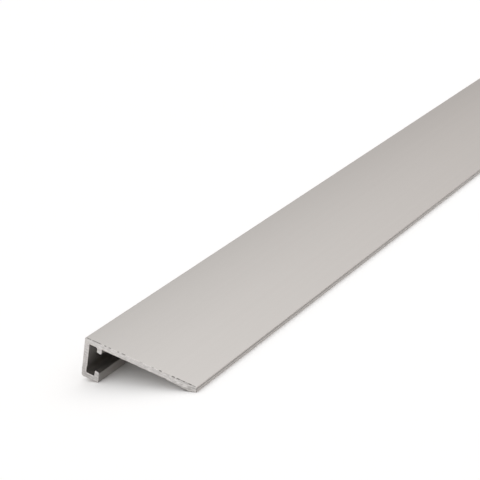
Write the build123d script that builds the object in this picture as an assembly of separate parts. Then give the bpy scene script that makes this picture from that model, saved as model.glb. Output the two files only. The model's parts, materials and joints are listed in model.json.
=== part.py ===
from build123d import *

import os
from math import asin, atan2, degrees, hypot

# Aluminium extrusion: a wide flat flange with a slotted channel along one long edge.
# The section is drawn with X along the flange, from the back of the web, and Y up from
# the underside of the channel's leg. All sizes are in millimetres.

# Stock
length = 1000.0

# Flange
flange_width = 45.0
flange_wall = 2.0

# Channel: the web, the leg under it and the clear slot between web and lip
web_wall = 2.0
leg_wall = 2.0
slot_depth = 3.25
slot_height = 11.3

# Lip that stands on the end of the leg, its top sloping down towards the mouth
lip_wall = 1.85
lip_height = 2.4
lip_slope = 0.5

# Nib that hangs from the flange above the lip, its foot sloping down towards the mouth
nib_wall = 1.85
nib_height = 2.05
nib_slope = 0.25

# Relief in the foot of the web, so that a strip seats in the corner of the slot
relief_depth = 0.2
relief_height = 2.3
relief_ramp = 0.35

# Corner radii
shoulder_radius = 0.6
heel_radius = 1.0
toe_radius = 0.4
lip_radius = 0.4
slot_radius = 0.3
relief_radius = 0.25
seat_radius = 0.6
nib_root_radius = 0.6
nib_radius = 0.4
edge_top_radius = 0.3
edge_foot_radius = 0.25

# Levels and places that follow from the sizes above
slot_floor = leg_wall
slot_roof = leg_wall + slot_height
height = slot_roof + flange_wall
lip_back = web_wall + slot_depth
channel_width = lip_back + lip_wall
nib_back = channel_width - nib_wall


def section_corners():
    """Corners of the section, anticlockwise from the heel, each with its radius."""
    leg_and_lip = [
        ((0, 0), heel_radius),
        ((channel_width, 0), toe_radius),
        ((channel_width, slot_floor + lip_height - lip_slope), lip_radius),
        ((lip_back, slot_floor + lip_height), lip_radius),
        ((lip_back, slot_floor), slot_radius),
    ]
    inside_of_web = [
        ((web_wall - relief_depth, slot_floor), seat_radius),
        ((web_wall - relief_depth, slot_floor + relief_height), relief_radius),
        ((web_wall, slot_floor + relief_height + relief_ramp), relief_radius),
        ((web_wall, slot_roof), slot_radius),
    ]
    nib = [
        ((nib_back, slot_roof), nib_root_radius),
        ((nib_back, slot_roof - nib_height + nib_slope), nib_radius),
        ((channel_width, slot_roof - nib_height), nib_radius),
        ((channel_width, slot_roof), slot_radius),
    ]
    free_edge = [
        ((flange_width, slot_roof), edge_foot_radius),
        ((flange_width, height), edge_top_radius),
    ]
    shoulder = [((0, height), shoulder_radius)]
    return leg_and_lip + inside_of_web + nib + free_edge + shoulder


def rounded_section(corners):
    """Face with straight runs between the corners and an arc of its own radius at each."""
    points = [point for point, radius in corners]
    radii = [radius for point, radius in corners]
    return make_face(FilletPolyline(*points, radius=radii, close=True))


def resting_tilt():
    """Angle by which the flange leans when the toe and the free edge both touch the floor.

    The floor is the line that touches the toe's arc and the free edge's lower arc.
    """
    run = (flange_width - edge_foot_radius) - (channel_width - toe_radius)
    rise = (slot_roof + edge_foot_radius) - toe_radius
    between_arcs = hypot(run, rise)
    return degrees(atan2(rise, run) - asin((edge_foot_radius - toe_radius) / between_arcs))


def stand_on_floor(bar):
    """The bar leaning as it lies on a level floor, over the middle of its footprint."""
    leaning = Rot(0, resting_tilt(), 0) * bar
    box = leaning.bounding_box()
    return Pos(-box.center().X, -box.center().Y, -box.min.Z) * leaning


section = Plane.XZ * rounded_section(section_corners())
bar = extrude(section, amount=length / 2, both=True)
extruded_profile = stand_on_floor(bar)

os.makedirs("parts", exist_ok=True)
export_step(extruded_profile, "parts/extruded_profile.step")
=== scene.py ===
import json
from math import atan2, radians

import bpy
import numpy as np
from mathutils import Matrix, Vector
from mathutils.geometry import delaunay_2d_cdt


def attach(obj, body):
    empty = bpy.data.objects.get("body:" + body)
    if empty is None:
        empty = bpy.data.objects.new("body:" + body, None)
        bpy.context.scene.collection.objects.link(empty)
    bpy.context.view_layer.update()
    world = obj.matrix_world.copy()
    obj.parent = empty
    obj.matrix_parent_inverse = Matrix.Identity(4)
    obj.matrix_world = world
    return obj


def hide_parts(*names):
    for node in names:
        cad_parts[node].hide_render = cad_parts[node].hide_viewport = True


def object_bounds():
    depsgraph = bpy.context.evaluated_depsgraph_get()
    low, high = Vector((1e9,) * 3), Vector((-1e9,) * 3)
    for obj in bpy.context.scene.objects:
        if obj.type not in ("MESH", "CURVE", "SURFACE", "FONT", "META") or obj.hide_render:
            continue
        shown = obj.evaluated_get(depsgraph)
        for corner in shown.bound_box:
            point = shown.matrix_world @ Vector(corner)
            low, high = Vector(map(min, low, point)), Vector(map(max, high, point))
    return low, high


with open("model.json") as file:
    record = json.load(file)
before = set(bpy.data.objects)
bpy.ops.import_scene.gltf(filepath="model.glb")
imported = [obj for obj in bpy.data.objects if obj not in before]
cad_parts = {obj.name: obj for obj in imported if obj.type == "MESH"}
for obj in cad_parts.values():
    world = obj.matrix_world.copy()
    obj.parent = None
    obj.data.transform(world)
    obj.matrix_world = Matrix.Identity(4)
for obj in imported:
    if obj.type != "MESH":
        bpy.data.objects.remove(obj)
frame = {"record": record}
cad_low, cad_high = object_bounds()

# An aluminium extrusion lies on a white floor: a wide flat flange with a lipped channel under one
# long edge. The bar is one closed skin, its section carried along the stock between two sawn ends.
# All lengths are in metres.
MM = 0.001

# Section: X along the flange from the back of the web, Y up from the underside of the leg
flange_width = 45.0 * MM
flange_wall = 2.0 * MM
web_wall = 2.0 * MM
leg_wall = 2.0 * MM
slot_depth = 3.25 * MM
slot_height = 11.3 * MM
lip_wall = 1.85 * MM
lip_height = 2.4 * MM
lip_slope = 0.5 * MM
nib_wall = 1.85 * MM
nib_height = 2.05 * MM
nib_slope = 0.25 * MM
relief_depth = 0.2 * MM
relief_height = 2.3 * MM
relief_ramp = 0.35 * MM

# Corner radii of the section
shoulder_radius = 0.6 * MM
heel_radius = 1.0 * MM
toe_radius = 0.4 * MM
lip_radius = 0.4 * MM
slot_radius = 0.3 * MM
relief_radius = 0.25 * MM
seat_radius = 0.6 * MM
nib_root_radius = 0.6 * MM
nib_radius = 0.4 * MM
edge_top_radius = 0.3 * MM
edge_foot_radius = 0.25 * MM

# Levels and places that follow from the section's sizes
slot_floor = leg_wall
slot_roof = leg_wall + slot_height
height = slot_roof + flange_wall
lip_back = web_wall + slot_depth
channel_width = lip_back + lip_wall
nib_back = channel_width - nib_wall

# How near a point of the outline lies to the flange's top or free edge, and to its underside, to
# count as on it
top_band = edge_top_radius / 2
underside_band = edge_foot_radius / 4

# Where the bar lies: the middle of the flange's top, and the sine and cosine of the flange's lean
flange_mount = {mount["name"]: mount for mount in frame["record"]["mounts"]}["flange_top"]
flange_seat = flange_mount["pos_m"]
lean_sin = flange_mount["axis"][0]
lean_cos = flange_mount["axis"][2]

# Fineness of the mesh: steps round the outline, over a sawn face and away from a sawn end, and the
# angle between two faces from which their edge is sharp
outline_pitch = 0.2 * MM
arc_step = radians(9)
end_face_pitch = 0.24 * MM
end_stations = MM * np.array([
    0, 0.04, 0.08, 0.13, 0.19, 0.26, 0.34, 0.43, 0.55, 0.7, 0.95, 1.4, 2.2, 4, 8, 16, 32, 64,
])
middle_stations = 9
sharp_angle = radians(32)

# How a sawn face is cut into triangles: only inside its outline, and in millimetres how close two
# points are that count as one
inside_only = 1
same_point = 1e-6

# Flat map of the finish: the skin unrolled below, the two sawn faces above it
map_name = "OFBake"
map_margin = 0.008
skin_map_height = 0.815

# Sawn ends: an edge broken all round, by a depth that wavers, and nicks where the saw tore the edges
# of the flange. Each nick has its place along the flange, its half length and its depth, 0 to 1.
edge_break = 0.09 * MM
edge_waver = 0.4
edge_waver_limits = (0.3, 2)
edge_waver_span = 7
edge_waver_seed = 5
break_reach = 0.14 * MM
nick_depth = 0.2 * MM
nick_reach = 0.34 * MM
nick_steepness = 1.8
nick_margin = 0.8 * MM
top_nicks = np.array([
    (1.4, 1.7, 0.8), (4.7, 2.8, 0.85), (8.3, 0.6, 0.9), (10.1, 0.75, 0.8), (13.6, 0.5, 0.75),
    (15.7, 1.1, 0.85), (22.9, 0.8, 0.5), (27.5, 0.6, 0.6), (30.5, 0.8, 1.0), (33.2, 2.0, 0.45),
    (35.65, 0.95, 0.95), (37.5, 0.95, 1.0), (38.6, 1.6, 0.8), (39.8, 0.75, 0.95),
    (40.9, 1.0, 0.7), (42.15, 1.05, 1.0), (43.8, 1.2, 0.75),
]) * (MM, MM, 1)
foot_nicks = np.array([(32.6, 0.55, 0.9)]) * (MM, MM, 1)

# Nicks of the far end, scattered at random along its top and foot edges
far_nick_count = 12
far_nick_half_lengths = np.array([0.4, 1.4]) * MM
far_nick_depths = (0.3, 0.9)
far_top_seed = 3
far_foot_seed = 4

# Burr that the saw left hanging where it came out, under the free edge of the near end: it swells
# slowly along the flange, then steps down
swell_start = 27.0 * MM
swell_drop = 0.4 * MM
burr_start = 39.0 * MM
burr_ramp = 0.4 * MM
burr_drop = 0.4 * MM
burr_reach = 0.3 * MM

# How much painted shade darkens the metal, from 0 to 1, and how far each shaded place reaches. On the
# sawn faces: painted shadow along the burr's lower edge and in the nicks of the foot, painted shade
# over the part where the saw came out, and towards the heel.
burr_dullness = 0.8
painted_shadow_line = 0.35 * MM
exit_dullness = 0.18
exit_start = 37.0 * MM
heel_dullness = 0.3
heel_reach = 12.0 * MM

# The same on the skin, all painted shade: on the corner of the free edge at a cut, in a dark band
# along the free edge all along, over the flange's top towards the shoulder, and on the outer face of
# the leg and its lip at the near cut
corner_dullness = 0.6
edge_dullness = 0.82
edge_line = 0.16 * MM
edge_ease = 0.16 * MM
edge_fade = 1.3 * MM
shoulder_dullness = 0.175
lip_dullness = 0.37
lip_reach = 9.0 * MM

# Relief of the sawn faces: the depth of the saw's bite, the shares of it that ripple and waver, the
# pitch of the ripple and the lengths of the waver
kerf_depth = 0.012 * MM
kerf_ripple_share = 0.5
kerf_waver_share = 0.25
kerf_pitch = 0.9 * MM
kerf_waver_along = 5.3 * MM
kerf_waver_up = 3.1 * MM
kerf_waver_slant = 9.0 * MM
near_kerf_seed = 7
far_kerf_seed = 8

# Blade: its middle lies between two shares of the flange's width, and a share of its radius under
# the leg
blade_radius = 125 * MM
blade_place_shares = (0.3, 0.7)
blade_drop_share = 0.8

# Colours of the satin skin and the sawn faces, each as the values of the grain tint, and the dark
# colour of painted shade
satin_tint = {"Shade": (0.626, 0.604, 0.582, 1), "Light": (0.636, 0.614, 0.592, 1)}
sawn_tint = {"Shade": (0.536, 0.52, 0.505, 1), "Light": (0.745, 0.724, 0.709, 1)}
dull_tint = (0.07, 0.065, 0.06)

# Grain of the two metals: speckles and streaks to a metre, and how the streaks are drawn out along
# the flange, along the stock and square to the flange
satin_grain = {"Speckle Scale": 2500, "Streak Scale": 900, "Streak Stretch": (1, 250, 1)}
sawn_grain = {"Speckle Scale": 1400, "Streak Scale": 1000, "Streak Stretch": (2, 1, 0.6)}
speckle_detail = 3
streak_detail = 4

# The stretch of values where a noise mostly lies, and the roughness that the speckle covers
noise_band = (0.3, 0.7)
satin_roughness = (0.35, 0.41)
sawn_roughness = (0.4, 0.55)

# How much the mottle of a sawn face is strengthened, from its start across the frame to the free edge
mottle_start = 8.0 * MM
mottle_gain = (1.2, 4.0)

# Finest relief: the die lines of the skin, and the rings of the blade on the sawn faces
die_line_strength = 0.03
die_line_depth = 0.02 * MM
ring_scale = 700
ring_distortion = 1.5
ring_detail = 2
ring_strength = 0.3
ring_depth = 0.03 * MM

# Studio: a white floor under a soft sky, dim at the horizon behind the bar and lighter in front. The
# sky rises to its full colour between two heights, and its lean is how its strength changes towards
# the back.
floor_radius = 30.0
floor_sides = 96
floor_white = 0.94
sky_overhead = (1.26, 1.26, 1.26)
horizon_behind = (0.33, 0.245, 0.205)
horizon_in_front = (0.5, 0.48, 0.46)
sky_rise = (0.14, 0.72)
sky_lean = -0.16

# Camera: to the right of the bar and above it, a little rolled
camera_place = Vector((0.31417, -0.88700, 0.20307))
camera_azimuth = radians(34.319)
camera_elevation = radians(17.669)
camera_roll = radians(-9.513)
camera_lens = 120.4
camera_clip_start = 0.01


def section_corners():
    """Corners of the section, anticlockwise from the heel, and the radius of each."""
    corners = [
        (0, 0, heel_radius),
        (channel_width, 0, toe_radius),
        (channel_width, slot_floor + lip_height - lip_slope, lip_radius),
        (lip_back, slot_floor + lip_height, lip_radius),
        (lip_back, slot_floor, slot_radius),
        (web_wall - relief_depth, slot_floor, seat_radius),
        (web_wall - relief_depth, slot_floor + relief_height, relief_radius),
        (web_wall, slot_floor + relief_height + relief_ramp, relief_radius),
        (web_wall, slot_roof, slot_radius),
        (nib_back, slot_roof, nib_root_radius),
        (nib_back, slot_roof - nib_height + nib_slope, nib_radius),
        (channel_width, slot_roof - nib_height, nib_radius),
        (channel_width, slot_roof, slot_radius),
        (flange_width, slot_roof, edge_foot_radius),
        (flange_width, height, edge_top_radius),
        (0, height, shoulder_radius),
    ]
    table = np.array(corners)
    return table[:, :2], table[:, 2]


def rounded_outline(corners, radii):
    """Points of the rounded section and the outward normal at each.

    The outline is a chain of arcs and straight runs. At a corner that turns by an angle, the arc
    leaves the run r * tan(angle / 2) before the corner. Along a piece of curvature k that starts
    with heading h, the point at distance t lies t * sin(kt/2) / (kt/2) away, towards h + kt/2.
    """
    run = np.roll(corners, -1, axis=0) - corners
    reach = np.hypot(run[:, 0], run[:, 1])
    leaves = np.arctan2(run[:, 1], run[:, 0])
    arrives = np.roll(leaves, 1)
    turn = (leaves - arrives + np.pi) % (2 * np.pi) - np.pi
    trim = radii * np.tan(np.abs(turn) / 2)
    ahead = np.stack([np.cos(leaves), np.sin(leaves)], axis=1)
    back = np.stack([np.cos(arrives), np.sin(arrives)], axis=1)

    # One row for each corner's arc, then one for the straight run that follows it
    arc_start = corners - back * trim[:, None]
    run_start = corners + ahead * trim[:, None]
    start = np.stack([arc_start, run_start], axis=1).reshape(-1, 2)
    heading = np.stack([arrives, leaves], axis=1).ravel()
    curve = np.stack([np.sign(turn) / radii, np.zeros_like(radii)], axis=1).ravel()
    length = np.stack([radii * np.abs(turn), reach - trim - np.roll(trim, -1)], axis=1).ravel()
    bends = np.ceil(np.abs(curve) * length / arc_step)
    steps = np.maximum(bends, np.ceil(length / outline_pitch)).astype(int)

    piece = np.repeat(np.arange(len(steps)), steps)
    first = np.repeat(np.cumsum(steps) - steps, steps)
    along = (np.arange(len(piece)) - first) / steps[piece] * length[piece]
    bend = curve[piece] * along
    chord = along * np.sinc(bend / (2 * np.pi))
    towards = heading[piece] + bend / 2
    points = start[piece] + chord[:, None] * np.stack([np.cos(towards), np.sin(towards)], axis=1)
    facing = heading[piece] + bend
    normals = np.stack([np.sin(facing), -np.cos(facing)], axis=1)
    return points, normals


def smooth_step(value):
    """3 t^2 - 2 t^3, with t the value held between 0 and 1."""
    t = np.clip(value, 0, 1)
    return t * t * (3 - 2 * t)


def smooth_noise(count, seed, span):
    """Closed random ripple of unit height: white noise averaged over span neighbours."""
    raw = np.random.default_rng(seed).standard_normal(count)
    kernel = np.zeros(count)
    kernel[:span] = 1 / np.sqrt(span)
    return np.real(np.fft.ifft(np.fft.fft(raw) * np.fft.fft(kernel)))


def nick_profile(places, nicks):
    """Depth of the nicks at places along the flange: the deepest of flat-bottomed dips.

    A dip is a smooth step of (1 - distance from its middle / half length) times the steepness. All
    dips fade out by a smooth step within the margin from the flange's long edges.
    """
    off = np.abs(places[:, None] - nicks[None, :, 0]) / nicks[None, :, 1]
    dip = smooth_step((1 - off) * nick_steepness)
    from_edge = np.minimum(places, flange_width - places)
    return (dip * nicks[None, :, 2]).max(axis=1) * smooth_step(from_edge / nick_margin)


def scattered_nicks(seed):
    """Nicks spread at random along the flange, each with a random half length and depth."""
    draw = np.random.default_rng(seed)
    place = draw.uniform(0, flange_width, far_nick_count)
    half = draw.uniform(*far_nick_half_lengths, far_nick_count)
    deep = draw.uniform(*far_nick_depths, far_nick_count)
    return np.stack([place, half, deep], axis=1)


def under_flange(points):
    """True for the points of the outline on the flat underside of the flange."""
    from_underside = np.abs(points[:, 1] - slot_roof)
    return (points[:, 0] > channel_width) & (from_underside < underside_band)


def on_lip_face(points):
    """True for the points of the outline on the outer face of the leg and its lip."""
    from_face = np.abs(points[:, 0] - channel_width)
    return (from_face < lip_radius) & (points[:, 1] < slot_floor + lip_height)


def end_nicks(points, top, foot):
    """Nick depth round the outline, from 0 to 1: on the flange's top edge and on its foot edge."""
    on_top = points[:, 1] > height - top_band
    top_depth = np.where(on_top, nick_profile(points[:, 0], top), 0)
    return top_depth + np.where(under_flange(points), nick_profile(points[:, 0], foot), 0)


def burr_step(places):
    """Smooth step from 0 to 1 along the flange, over the ramp where the burr steps down."""
    return smooth_step((places - burr_start) / burr_ramp)


def hanging_burr(places):
    """How far the burr hangs under the flange, at places along it.

    It swells and then drops by smooth steps, and ends where the leaning flange leaves no room over
    the floor: the room is the distance from the free edge's foot times the tangent of the lean.
    """
    room = (flange_width - edge_foot_radius - places) * lean_sin / lean_cos
    swell = swell_drop * smooth_step((places - swell_start) / (burr_start - swell_start))
    drop = swell + burr_drop * burr_step(places)
    return np.clip(np.minimum(drop, room), 0, None)


def squared_foot(points, normals):
    """How far the burr fills out the rounded foot of the free edge, into a corner over the floor.

    From an arc of radius r the way out along the normal is r / m - r, where m is the greatest of
    the normal's parts across, down and towards the leaning floor.
    """
    across, down = normals[:, 0], -normals[:, 1]
    to_floor = across * lean_sin + down * lean_cos
    part = np.maximum(np.maximum(across, down), to_floor)
    at_edge = points[:, 0] > flange_width - edge_foot_radius
    on_foot = at_edge & (points[:, 1] < slot_roof + edge_foot_radius)
    return np.where(on_foot, edge_foot_radius / np.where(on_foot, part, 1) - edge_foot_radius, 0)


def burr_cover(points):
    """Where the burr covers the edge of the cut, from 0 to 1: near the foot of the free edge.

    It is a smooth step of the distance from that foot, which fades out over the flange's upper half.
    """
    off = np.hypot(points[:, 0] - flange_width, points[:, 1] - slot_roof)
    near = smooth_step((flange_width - burr_start - off) / burr_ramp)
    return near * smooth_step((height - points[:, 1]) / (flange_wall / 2))


def skin_dullness(points):
    """Painted shade of the skin round the outline.

    On the free edge it starts by a smooth step at the edge line and eases towards the foot. On the
    top it eases from the shoulder as the square of the share of the flange that is left.
    """
    at_edge = points[:, 0] > flange_width - edge_top_radius
    below_top = height - points[:, 1]
    # Painted shade: a dark band along the free edge
    edge = edge_dullness * (1 - smooth_step(below_top / edge_fade))
    edge = edge * smooth_step((below_top - edge_line) / edge_ease)
    # Painted shade: the top darker towards the shoulder
    top = shoulder_dullness * (1 - points[:, 0] / flange_width) ** 2
    return np.where(at_edge, edge, top * (below_top < shoulder_radius))


def face_dullness(points, near):
    """Painted shade of a sawn face, by smooth steps: it grows towards the heel.

    On the near face it also grows along the flange to where the saw came out, and down to the burr's
    lower edge and the nicks of the foot.
    """
    # Painted shade towards the heel, at the saw's exit, and painted shadow under the burr and in foot
    # nicks
    heel = heel_dullness * smooth_step(1 - points[:, 0] / heel_reach) * (1 - points[:, 1] / height)
    exit_share = (points[:, 0] - exit_start) / (flange_width - exit_start)
    saw_exit = exit_dullness * smooth_step(exit_share)
    over_foot = points[:, 1] - slot_roof
    over_burr = over_foot + hanging_burr(points[:, 0])
    burr = burr_dullness * smooth_step(1 - over_burr / painted_shadow_line) * burr_step(points[:, 0])
    foot = nick_profile(points[:, 0], foot_nicks) * smooth_step(1 - over_foot / painted_shadow_line)
    return np.maximum(heel, np.maximum.reduce([burr, saw_exit, foot]) * near)


def place_in_frame(across, up, along):
    """Points of the section carried to where the bar lies: turned by the lean about its seat."""
    across = across - flange_width / 2
    up = up - height
    x = flange_seat[0] + across * lean_cos + up * lean_sin
    z = flange_seat[2] - across * lean_sin + up * lean_cos
    return np.stack([x, along, z], axis=-1)


def inside_points(outline):
    """Grid points inside the closed outline, clear of it by half a grid step.

    A point is inside where a ray along X crosses the outline an odd number of times.
    """
    box = zip(outline.min(axis=0), outline.max(axis=0))
    ticks = [np.arange(start + end_face_pitch / 2, end, end_face_pitch) for start, end in box]
    grid = np.stack(np.meshgrid(*ticks), axis=-1).reshape(-1, 2)
    a, b = outline[None], np.roll(outline, -1, axis=0)[None]
    gx, gy = grid[:, :1], grid[:, 1:]
    spans = (a[..., 1] > gy) != (b[..., 1] > gy)
    rise = np.where(b[..., 1] == a[..., 1], 1, b[..., 1] - a[..., 1])
    cross_x = a[..., 0] + (gy - a[..., 1]) / rise * (b[..., 0] - a[..., 0])
    inside = (spans & (gx < cross_x)).sum(axis=1) % 2 == 1
    clear = np.hypot(gx - a[..., 0], gy - a[..., 1]).min(axis=1) > end_face_pitch / 2
    return grid[inside & clear]


def end_face(outline):
    """Grid points of a sawn face, and its triangles, which count the outline's points first.

    As far as the outline allows, no point lies inside the circle through a triangle's corners.
    """
    inner = inside_points(outline)
    sheet = (np.concatenate([outline, inner]) / MM).tolist()
    loop = [list(range(len(outline)))]
    _, _, faces, origin, _, _ = delaunay_2d_cdt(sheet, [], loop, inside_only, same_point)
    number = np.array(origin)[:, 0]
    return inner, number[np.array(faces)]


def kerf(points, seed):
    """How far the saw bit into a sawn face: the depth, times 1 and its shares of ripple and waver.

    The ripple is a sine of the distance from the blade's middle. The waver is the sum of two slow
    sines, one along the flange and one on a slant.
    """
    draw = np.random.default_rng(seed)
    across = points[:, 0] - flange_width * draw.uniform(*blade_place_shares)
    up = points[:, 1] + blade_radius * blade_drop_share
    ripple = np.sin(2 * np.pi * np.hypot(across, up) / kerf_pitch)
    slant = points[:, 1] / kerf_waver_up + points[:, 0] / kerf_waver_slant
    waver = np.sin(points[:, 0] / kerf_waver_along) + np.sin(slant)
    return kerf_depth * (1 + kerf_ripple_share * ripple + kerf_waver_share * waver)


def worn_outline_and_painted_shade(points, normals, stations):
    """The outline at every station, worn near the sawn ends, and the painted shade of each point.

    A point moves inwards by the edge break and its nick, times f squared, where f is 1 - distance
    from the end / reach. It moves outwards by the burr, times 1 - distance from the end / burr reach.
    No edge is broken where the burr covers it. Painted shade in a nick on top is darkest halfway up
    its slope, by 4 f (1 - f), and in one in the foot at the cut, by f. The darkest of all marks holds
    at a point.
    """
    to_end = np.minimum(stations - cad_low.y, cad_high.y - stations)[:, None]
    near_end = stations[:, None] < 0
    near_nicks = end_nicks(points, top_nicks, foot_nicks)
    far_nicks = end_nicks(points, scattered_nicks(far_top_seed), scattered_nicks(far_foot_seed))
    nick = np.where(near_end, near_nicks[None], far_nicks[None])
    ripple = smooth_noise(len(points), edge_waver_seed, edge_waver_span)
    waver = np.clip(1 + edge_waver * ripple, *edge_waver_limits)
    deep = edge_break * waver[None] + nick_depth * nick
    fade = np.clip(1 - to_end / (break_reach + nick_reach * nick), 0, 1)
    broken = deep * fade ** 2 * (1 - near_end * burr_cover(points))

    on_foot = under_flange(points)
    burr_fade = near_end * np.clip(1 - to_end / burr_reach, 0, 1)
    hang = np.where(on_foot, hanging_burr(points[:, 0]), 0) * burr_fade
    filled = squared_foot(points, normals) * burr_fade
    moved = points[None] + normals[None] * (hang + filled - broken)[..., None]

    # Painted shade: in the nicks, along the burr's foot, on the free edge's corner and on the lip
    # near the cut
    nick_shade = nick * np.where(on_foot, fade, 4 * fade * (1 - fade))
    burr = burr_dullness * burr_step(points[:, 0]) * (hang > 0)
    corner = corner_dullness * (points[:, 0] > flange_width - top_band)
    corner = corner * np.clip(1 - to_end / nick_reach, 0, 1)
    lip = lip_dullness * (near_end & on_lip_face(points)) * smooth_step(1 - to_end / lip_reach)
    marks = np.maximum.reduce([nick_shade, burr, corner, lip])
    return moved, np.maximum(marks, skin_dullness(points))


def skin_map(count, stations):
    """Places of the skin's corners on the flat map, quad by quad, as seen from outside.

    Across the map a step is a step round the outline. Up the map a station stands half by its number
    and half by its distance along the stock, which draws the ends larger.
    """
    along = (stations - cad_low.y) / (cad_high.y - cad_low.y)
    rise = (np.linspace(0, 1, len(stations)) + along) / 2
    here = 1 - np.arange(count) / count
    after = here - 1 / count
    across = np.stack([here, here, after, after], axis=-1)[None]
    up = np.stack([rise[:-1], rise[1:], rise[1:], rise[:-1]], axis=-1)[:, None]
    places = np.stack(np.broadcast_arrays(across, up), axis=-1).reshape(-1, 2)
    return map_margin + places * (1 - 2 * map_margin, skin_map_height - map_margin)


def face_map(points, near):
    """Places of a sawn face's points on the flat map, as seen from outside.

    Both faces are drawn to one scale, side by side, the near one at the left.
    """
    scale = (1 - 3 * map_margin) / 2 / flange_width
    left = map_margin if near else (1 + map_margin) / 2
    across = points[:, 0] if near else flange_width - points[:, 0]
    up = skin_map_height + map_margin + points[:, 1] * scale
    return np.stack([left + across * scale, up], axis=1)


def add_mesh(name, vertices, quads, triangles):
    """A mesh of quads, then triangles, written as flat arrays."""
    mesh = bpy.data.meshes.new(name)
    corners = np.concatenate([quads.ravel(), triangles.ravel()]).astype(np.int32)
    sides = np.concatenate([np.full(len(quads), 4), np.full(len(triangles), 3)])
    starts = (np.cumsum(sides) - sides).astype(np.int32)
    mesh.vertices.add(len(vertices))
    mesh.vertices.foreach_set("co", vertices.astype(np.float32).ravel())
    mesh.loops.add(len(corners))
    mesh.loops.foreach_set("vertex_index", corners)
    mesh.polygons.add(len(sides))
    mesh.polygons.foreach_set("loop_start", starts)
    mesh.update(calc_edges=True)
    mesh.validate()
    return mesh


def bar_mesh():
    """The bar's closed skin: the worn outline along the stock, and a sawn face at each end.

    The kerf's depth is the relief of a sawn face. The mesh carries its painted shade, its flat map,
    and which faces are skin (0) and which are sawn (1).
    """
    points, normals = rounded_outline(*section_corners())
    count = len(points)
    middle = np.linspace(cad_low.y, cad_high.y, middle_stations + 2)[1:-1]
    stations = np.concatenate([cad_low.y + end_stations, middle, (cad_high.y - end_stations)[::-1]])
    moved, dull = worn_outline_and_painted_shade(points, normals, stations)
    along = np.broadcast_to(stations[:, None], dull.shape)
    skin = place_in_frame(moved[..., 0], moved[..., 1], along)

    here = np.arange(count)
    after = np.roll(here, -1)
    step = np.arange(len(stations) - 1)[:, None] * count
    sides = [step + here, step + count + here, step + count + after, step + after]
    quads = np.stack(sides, axis=-1).reshape(-1, 4)

    vertices = [skin.reshape(-1, 3)]
    marks = [dull.ravel()]
    spots = [skin_map(count, stations)]
    triangles = []
    total = count * len(stations)
    near_face = (0, cad_low.y, 1, near_kerf_seed)
    far_face = (len(stations) - 1, cad_high.y, -1, far_kerf_seed)
    for ring, y, into, seed in (near_face, far_face):
        near = into > 0
        inner, faces = end_face(moved[ring])
        vertices.append(place_in_frame(inner[:, 0], inner[:, 1], y + into * kerf(inner, seed)))
        marks.append(face_dullness(inner, near))
        drawn = face_map(np.concatenate([moved[ring], inner]), near)
        spots.append(drawn[faces][:, ::into].reshape(-1, 2))
        index = np.concatenate([ring * count + here, total + np.arange(len(inner))])
        triangles.append(index[faces][:, ::into])
        total += len(inner)

    triangles = np.concatenate(triangles)
    mesh = add_mesh("profile_bar", np.concatenate(vertices), quads, triangles)
    # Painted shade goes on the mesh as a point attribute
    mark = mesh.attributes.new("dull", "FLOAT", "POINT")
    mark.data.foreach_set("value", np.concatenate(marks).astype(np.float32))
    flat_map = mesh.uv_layers.new(name=map_name)
    flat_map.data.foreach_set("uv", np.concatenate(spots).astype(np.float32).ravel())
    sawn = np.repeat([0, 1], [len(quads), len(triangles)]).astype(np.int32)
    mesh.polygons.foreach_set("material_index", sawn)
    return mesh


def link(tree, source, output, target, socket):
    """Joins one node's output to another's input."""
    tree.links.new(source.outputs[output], target.inputs[socket])


def ranged(tree, value, band, result=(0, 1), ease="LINEAR"):
    """Output that runs over the result as the value runs over the band, and is held at its ends."""
    node = tree.nodes.new("ShaderNodeMapRange")
    node.interpolation_type = ease
    node.inputs["From Min"].default_value = band[0]
    node.inputs["From Max"].default_value = band[1]
    node.inputs["To Min"].default_value = result[0]
    node.inputs["To Max"].default_value = result[1]
    tree.links.new(value, node.inputs["Value"])
    return node.outputs["Result"]


def feed(tree, colour, socket):
    """Gives a socket its colour: another node's output, or three fixed numbers."""
    if isinstance(colour, tuple):
        socket.default_value = (*colour, 1)
    else:
        tree.links.new(colour, socket)


def mixed(tree, share, first, second):
    """Output that runs from the first colour to the second with the share."""
    mix = tree.nodes.new("ShaderNodeMix")
    mix.data_type = "RGBA"
    tree.links.new(share, mix.inputs["Factor"])
    feed(tree, first, mix.inputs["A"])
    feed(tree, second, mix.inputs["B"])
    return mix.outputs["Result"]


def new_group(name, inputs, outputs):
    """An empty shader group with named sockets, and the nodes for its inputs and outputs."""
    group = bpy.data.node_groups.new(name, "ShaderNodeTree")
    for socket, kind in inputs.items():
        group.interface.new_socket(socket, in_out="INPUT", socket_type=kind)
    for socket, kind in outputs.items():
        group.interface.new_socket(socket, in_out="OUTPUT", socket_type=kind)
    return group, group.nodes.new("NodeGroupInput"), group.nodes.new("NodeGroupOutput")


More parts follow.
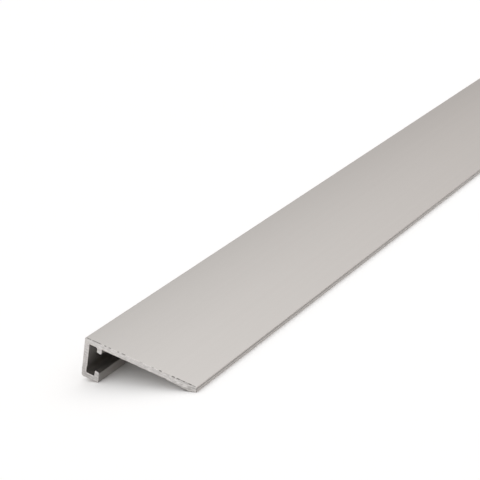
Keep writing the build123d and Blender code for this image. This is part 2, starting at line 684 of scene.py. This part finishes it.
def metal_grain_group():
    """Grain of metal: a fine speckle, and streaks that are drawn out as the stretch says.

    The stretch is along the flange, along the stock and square to the flange.
    """
    inputs = {
        "Speckle Scale": "NodeSocketFloat",
        "Streak Scale": "NodeSocketFloat",
        "Streak Stretch": "NodeSocketVector",
    }
    outputs = {"Speckle": "NodeSocketFloat", "Streak": "NodeSocketFloat"}
    group, given, result = new_group("metal_grain", inputs, outputs)
    place = group.nodes.new("ShaderNodeTexCoord")
    speckle = group.nodes.new("ShaderNodeTexNoise")
    speckle.inputs["Detail"].default_value = speckle_detail
    stretch = group.nodes.new("ShaderNodeMapping")
    stretch.vector_type = "TEXTURE"
    stretch.inputs["Rotation"].default_value = (0, atan2(lean_sin, lean_cos), 0)
    streak = group.nodes.new("ShaderNodeTexNoise")
    streak.inputs["Detail"].default_value = streak_detail
    link(group, place, "Object", speckle, "Vector")
    link(group, given, "Speckle Scale", speckle, "Scale")
    link(group, place, "Object", stretch, "Vector")
    link(group, given, "Streak Stretch", stretch, "Scale")
    link(group, stretch, "Vector", streak, "Vector")
    link(group, given, "Streak Scale", streak, "Scale")
    link(group, speckle, "Fac", result, "Speckle")
    link(group, streak, "Fac", result, "Streak")
    return group


def grain_and_painted_shade_group():
    """Tint of metal: from shade to light with the grain, darkened by the painted shade that the mesh
    carries.
    """
    inputs = {
        "Grain": "NodeSocketFloat",
        "Shade": "NodeSocketColor",
        "Light": "NodeSocketColor",
    }
    outputs = {"Colour": "NodeSocketColor"}
    group, given, result = new_group("grain_and_painted_shade", inputs, outputs)
    share = ranged(group, given.outputs["Grain"], noise_band)
    tint = mixed(group, share, given.outputs["Shade"], given.outputs["Light"])
    # Painted shade: the mesh's attribute darkens the tint towards a dark colour
    mark = group.nodes.new("ShaderNodeAttribute")
    mark.attribute_name = "dull"
    shaded = mixed(group, mark.outputs["Fac"], tint, dull_tint)
    group.links.new(shaded, result.inputs["Colour"])
    return group


def place_group(tree, group, values):
    """A group placed in a material with its own values."""
    node = tree.nodes.new("ShaderNodeGroup")
    node.node_tree = group
    for socket, value in values.items():
        node.inputs[socket].default_value = value
    return node


def new_material(name):
    """An empty node material with its Principled shader."""
    material = bpy.data.materials.new(name)
    material.use_nodes = True
    tree = material.node_tree
    tree.nodes.clear()
    shader = tree.nodes.new("ShaderNodeBsdfPrincipled")
    output = tree.nodes.new("ShaderNodeOutputMaterial")
    link(tree, shader, "BSDF", output, "Surface")
    return material, tree, shader


def add_relief(tree, shader, relief, strength, depth):
    """Turns the shader's normal by a bump of the relief."""
    bump = tree.nodes.new("ShaderNodeBump")
    bump.inputs["Strength"].default_value = strength
    bump.inputs["Distance"].default_value = depth
    tree.links.new(relief, bump.inputs["Height"])
    link(tree, bump, "Normal", shader, "Normal")


def torn_mottle(tree, place, noise):
    """The noise's distance from its middle, times a gain that grows along X to the free edge."""
    noise_middle = sum(noise_band) / 2
    split = tree.nodes.new("ShaderNodeSeparateXYZ")
    link(tree, place, "Object", split, "Vector")
    gain = ranged(tree, split.outputs["X"], (mottle_start, cad_high.x), mottle_gain)
    centred = tree.nodes.new("ShaderNodeMath")
    centred.operation = "SUBTRACT"
    centred.inputs[1].default_value = noise_middle
    stretched = tree.nodes.new("ShaderNodeMath")
    stretched.operation = "MULTIPLY_ADD"
    stretched.inputs[2].default_value = noise_middle
    tree.links.new(noise, centred.inputs[0])
    link(tree, centred, "Value", stretched, 0)
    tree.links.new(gain, stretched.inputs[1])
    return stretched.outputs["Value"]


def satin_skin(grain_group, tint_group):
    """Satin anodised skin: warm grey metal with faint die lines along the stock."""
    material, tree, shader = new_material("satin_anodised")
    shader.inputs["Metallic"].default_value = 1
    grain = place_group(tree, grain_group, satin_grain)
    tint = place_group(tree, tint_group, satin_tint)
    link(tree, grain, "Streak", tint, "Grain")
    link(tree, tint, "Colour", shader, "Base Color")
    rough = ranged(tree, grain.outputs["Speckle"], noise_band, satin_roughness)
    tree.links.new(rough, shader.inputs["Roughness"])
    add_relief(tree, shader, grain.outputs["Streak"], die_line_strength, die_line_depth)
    return material


def sawn_end(grain_group, tint_group):
    """Bare metal of the sawn ends: brighter, mottled, with rings left by the blade.

    The rings' middle lies one blade radius under the middle of the floor.
    """
    material, tree, shader = new_material("sawn_aluminium")
    shader.inputs["Metallic"].default_value = 1
    grain = place_group(tree, grain_group, sawn_grain)
    tint = place_group(tree, tint_group, sawn_tint)
    place = tree.nodes.new("ShaderNodeTexCoord")
    mottle = torn_mottle(tree, place, grain.outputs["Streak"])
    tree.links.new(mottle, tint.inputs["Grain"])
    link(tree, tint, "Colour", shader, "Base Color")
    rough = ranged(tree, grain.outputs["Speckle"], noise_band, sawn_roughness)
    tree.links.new(rough, shader.inputs["Roughness"])

    centre = tree.nodes.new("ShaderNodeMapping")
    centre.inputs["Location"].default_value = (0, 0, blade_radius)
    centre.inputs["Scale"].default_value = (1, 0, 1)
    rings = tree.nodes.new("ShaderNodeTexWave")
    rings.wave_type = "RINGS"
    rings.rings_direction = "Y"
    rings.inputs["Scale"].default_value = ring_scale
    rings.inputs["Distortion"].default_value = ring_distortion
    rings.inputs["Detail"].default_value = ring_detail
    link(tree, place, "Object", centre, "Vector")
    link(tree, centre, "Vector", rings, "Vector")
    add_relief(tree, shader, rings.outputs["Fac"], ring_strength, ring_depth)
    return material


def make_bar():
    """The bar, which stands for the CAD node: satin skin, sawn ends."""
    mesh = bar_mesh()
    grain_group = metal_grain_group()
    tint_group = grain_and_painted_shade_group()
    mesh.materials.append(satin_skin(grain_group, tint_group))
    mesh.materials.append(sawn_end(grain_group, tint_group))
    mesh.shade_smooth()
    mesh.set_sharp_from_angle(angle=sharp_angle)
    bar = bpy.data.objects.new("profile_bar", mesh)
    bpy.context.scene.collection.objects.link(bar)
    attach(bar, "root")
    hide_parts("extruded_profile")


def make_floor():
    """White round floor: a flat disc, its rim at equal turns round a circle."""
    turn = np.linspace(0, 2 * np.pi, floor_sides, endpoint=False)
    rim = np.stack([np.cos(turn), np.sin(turn), np.zeros_like(turn)], axis=1) * floor_radius
    rim[:, 2] = cad_low.z
    mesh = bpy.data.meshes.new("floor")
    mesh.from_pydata(rim.tolist(), [], [list(range(len(rim)))])
    material, _, shader = new_material("white_floor")
    shader.inputs["Base Color"].default_value = (floor_white, floor_white, floor_white, 1)
    shader.inputs["Roughness"].default_value = 1
    shader.inputs["Specular IOR Level"].default_value = 0
    mesh.materials.append(material)
    floor = bpy.data.objects.new("floor", mesh)
    bpy.context.scene.collection.objects.link(floor)


def make_sky():
    """Soft light: from horizon to overhead by a smooth step of the height, times 1 + lean * y.

    The horizon's own colour runs from behind the bar (y = 0 and more) to in front of it (y = -1).
    """
    world = bpy.data.worlds.new("studio")
    bpy.context.scene.world = world
    world.use_nodes = True
    tree = world.node_tree
    tree.nodes.clear()
    place = tree.nodes.new("ShaderNodeTexCoord")
    split = tree.nodes.new("ShaderNodeSeparateXYZ")
    link(tree, place, "Generated", split, "Vector")
    in_front = ranged(tree, split.outputs["Y"], (0, -1))
    horizon = mixed(tree, in_front, horizon_behind, horizon_in_front)
    risen = ranged(tree, split.outputs["Z"], sky_rise, ease="SMOOTHSTEP")
    colour = mixed(tree, risen, horizon, sky_overhead)
    lean = tree.nodes.new("ShaderNodeMath")
    lean.operation = "MULTIPLY_ADD"
    lean.inputs[1].default_value = sky_lean
    lean.inputs[2].default_value = 1
    sky = tree.nodes.new("ShaderNodeBackground")
    output = tree.nodes.new("ShaderNodeOutputWorld")
    link(tree, split, "Y", lean, 0)
    tree.links.new(colour, sky.inputs["Color"])
    link(tree, lean, "Value", sky, "Strength")
    link(tree, sky, "Background", output, "Surface")


def make_camera():
    """Camera that looks along its azimuth and elevation, turned about its own line of sight."""
    data = bpy.data.cameras.new("camera")
    data.lens = camera_lens
    data.clip_start = camera_clip_start
    camera = bpy.data.objects.new("camera", data)
    turn = (
        Matrix.Rotation(camera_azimuth, 4, "Z")
        @ Matrix.Rotation(radians(90) - camera_elevation, 4, "X")
        @ Matrix.Rotation(camera_roll, 4, "Z")
    )
    camera.matrix_world = Matrix.Translation(camera_place) @ turn
    bpy.context.scene.collection.objects.link(camera)
    bpy.context.scene.camera = camera


make_bar()
make_floor()
make_sky()
make_camera()
bpy.context.scene.view_settings.view_transform = "Standard"
